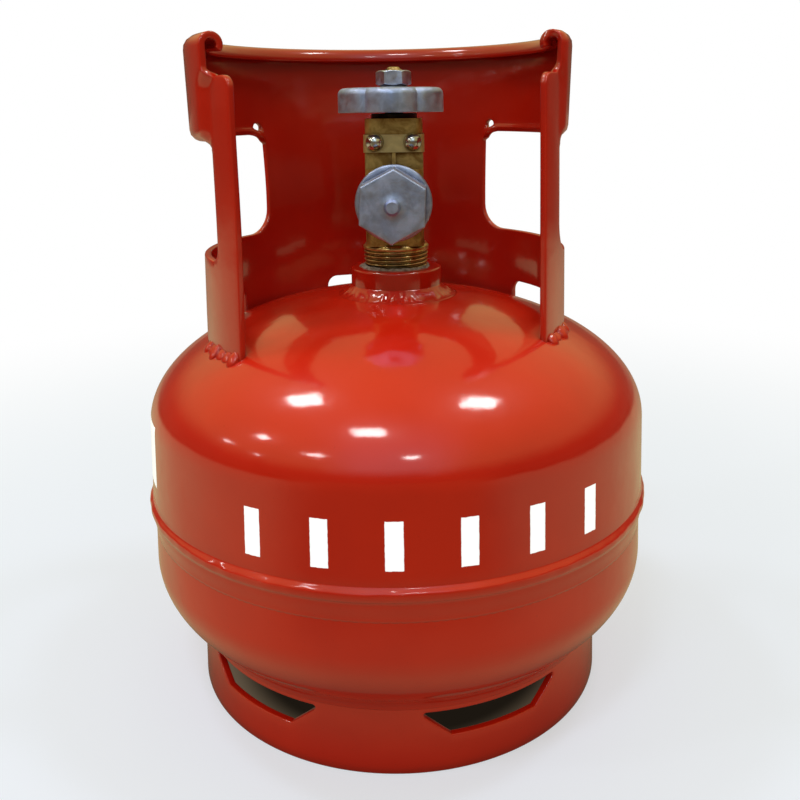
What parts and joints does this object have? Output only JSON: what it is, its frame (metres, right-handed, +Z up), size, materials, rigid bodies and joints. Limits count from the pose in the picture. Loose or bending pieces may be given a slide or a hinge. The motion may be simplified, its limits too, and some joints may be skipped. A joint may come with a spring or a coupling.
{
  "type": "portable gas cylinder",
  "caption": "Small squat welded steel gas cylinder with a foot ring, a C-shaped guard collar with hand holes, and a brass hand valve with a capped side outlet.",
  "frame": {"origin": "centre of the foot ring's base, on the ground", "axes": "+Z up along the cylinder's axis; -Y towards the valve's outlet and the collar's opening; +X to the right seen from there"},
  "size_m": [0.2256, 0.2256, 0.285],
  "materials": {
    "red_paint": "glossy",
    "brass": "forged, slightly dull",
    "cast_aluminium": "cast, matt",
    "polished_steel": "polished",
    "zinc_steel": "zinc plated",
    "dark_steel": "dark, oiled",
    "seal_rubber": "matt",
    "sealant": "dried paste"
  },
  "bodies": {
    "cylinder": {"upper_shell": "red_paint", "lower_shell": "red_paint", "seam_weld": "red_paint", "foot_ring": "red_paint", "foot_ring_weld": "red_paint", "neck_boss": "red_paint", "neck_weld": "red_paint", "thread_sealant": "sealant", "guard_collar": "red_paint", "collar_weld_front_left": "red_paint", "collar_weld_front_right": "red_paint", "collar_weld_back_left": "red_paint", "collar_weld_back_right": "red_paint", "valve_body": "brass", "locking_ball_left": "polished_steel", "locking_ball_right": "polished_steel", "gland_packing": "seal_rubber", "gland_nut": "dark_steel"},
    "stem": {"spindle": "brass", "handwheel": "cast_aluminium", "wheel_washer": "zinc_steel", "wheel_nut": "zinc_steel"},
    "plug": {"valve_plug": "brass", "plug_seal": "seal_rubber"},
    "gasket": {"cap_gasket": "seal_rubber"},
    "cap": {"outlet_cap": "cast_aluminium"}
  },
  "joints": [
    {"name": "handwheel_turn", "type": "hinge", "parent": "cylinder", "child": "stem", "pos_m": [0.0008, 0, 0.25], "axis": [0, 0, 1], "range_deg": [0, 720]},
    {"name": "plug_lift", "type": "slide", "parent": "stem", "child": "plug", "axis": [0, 0, 1], "range_m": [0, 0.003]},
    {"name": "outlet_cap_travel", "type": "slide", "parent": "cylinder", "child": "gasket", "axis": [0, -1, 0], "range_m": [0, 0.0109]},
    {"name": "outlet_cap_turn", "type": "hinge", "parent": "gasket", "child": "cap", "pos_m": [0.0008, -0.035, 0.2124], "axis": [0, 1, 0], "range_deg": [0, 2160]}
  ],
  "couplings": [
    {"joint": "plug_lift", "follows": "handwheel_turn", "m_per_rad": 0.0002387},
    {"joint": "outlet_cap_travel", "follows": "outlet_cap_turn", "m_per_rad": 0.0002887}
  ]
}
